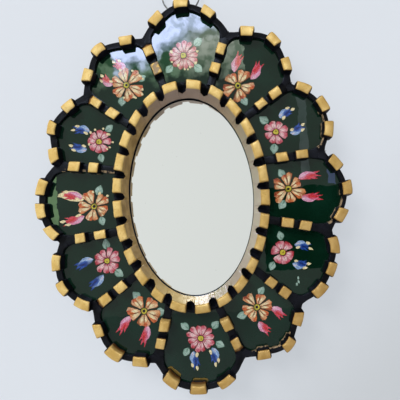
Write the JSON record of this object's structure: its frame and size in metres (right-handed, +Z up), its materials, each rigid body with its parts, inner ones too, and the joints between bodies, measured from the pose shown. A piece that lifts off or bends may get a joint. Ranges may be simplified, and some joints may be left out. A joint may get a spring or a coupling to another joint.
{
  "type": "wall mirror",
  "caption": "Oval wall mirror in a flower-shaped frame of painted glass petals held by carved, gilded black strips, hung by a wire ring.",
  "frame": {"origin": "centre of the oval, on the back face of the backing panel, which meets the wall", "axes": "+Z up the wall towards the hanging ring, +Y into the wall, so the mirror faces -Y"},
  "size_m": [0.2576, 0.0274, 0.3563],
  "materials": {
    "cedar": "bare cedar, stained dark at the edge",
    "carved_gilt": "satin black paint, with gold leaf on the blocks' tops and on the ring's inner wall",
    "painted_glass": "clear glass, painted from behind in dark green with traditional flowers",
    "mirror": "silvered glass",
    "plywood": "thin bare plywood",
    "brad_steel": "bright wire steel",
    "brass_strap": "dull brass strip",
    "ring_wire": "zinc-coated wire"
  },
  "bodies": {
    "mirror": {"base_board": "cedar", "oval_ring": "carved_gilt", "divider_01": "carved_gilt", "divider_02": "carved_gilt", "divider_03": "carved_gilt", "divider_04": "carved_gilt", "divider_05": "carved_gilt", "divider_06": "carved_gilt", "divider_07": "carved_gilt", "divider_08": "carved_gilt", "divider_09": "carved_gilt", "divider_10": "carved_gilt", "divider_11": "carved_gilt", "divider_12": "carved_gilt", "petal_rim_01": "carved_gilt", "petal_rim_02": "carved_gilt", "petal_rim_03": "carved_gilt", "petal_rim_04": "carved_gilt", "petal_rim_05": "carved_gilt", "petal_rim_06": "carved_gilt", "petal_rim_07": "carved_gilt", "petal_rim_08": "carved_gilt", "petal_rim_09": "carved_gilt", "petal_rim_10": "carved_gilt", "petal_rim_11": "carved_gilt", "petal_rim_12": "carved_gilt", "petal_glass_01": "painted_glass", "petal_glass_02": "painted_glass", "petal_glass_03": "painted_glass", "petal_glass_04": "painted_glass", "petal_glass_05": "painted_glass", "petal_glass_06": "painted_glass", "petal_glass_07": "painted_glass", "petal_glass_08": "painted_glass", "petal_glass_09": "painted_glass", "petal_glass_10": "painted_glass", "petal_glass_11": "painted_glass", "petal_glass_12": "painted_glass", "mirror_glass": "mirror", "backing_panel": "plywood", "backing_brad_1": "brad_steel", "backing_brad_2": "brad_steel", "backing_brad_3": "brad_steel", "backing_brad_4": "brad_steel", "backing_brad_5": "brad_steel", "backing_brad_6": "brad_steel", "hanger_strap": "brass_strap", "hanger_nail_1": "brad_steel", "hanger_nail_2": "brad_steel"},
    "wire_ring": {"hanging_ring": "ring_wire"}
  },
  "joints": [
    {"name": "ring_swing", "type": "hinge", "parent": "mirror", "child": "wire_ring", "pos_m": [0, -0.00176, 0.16144], "axis": [-1, 0, 0], "range_deg": [-80, 180]}
  ]
}
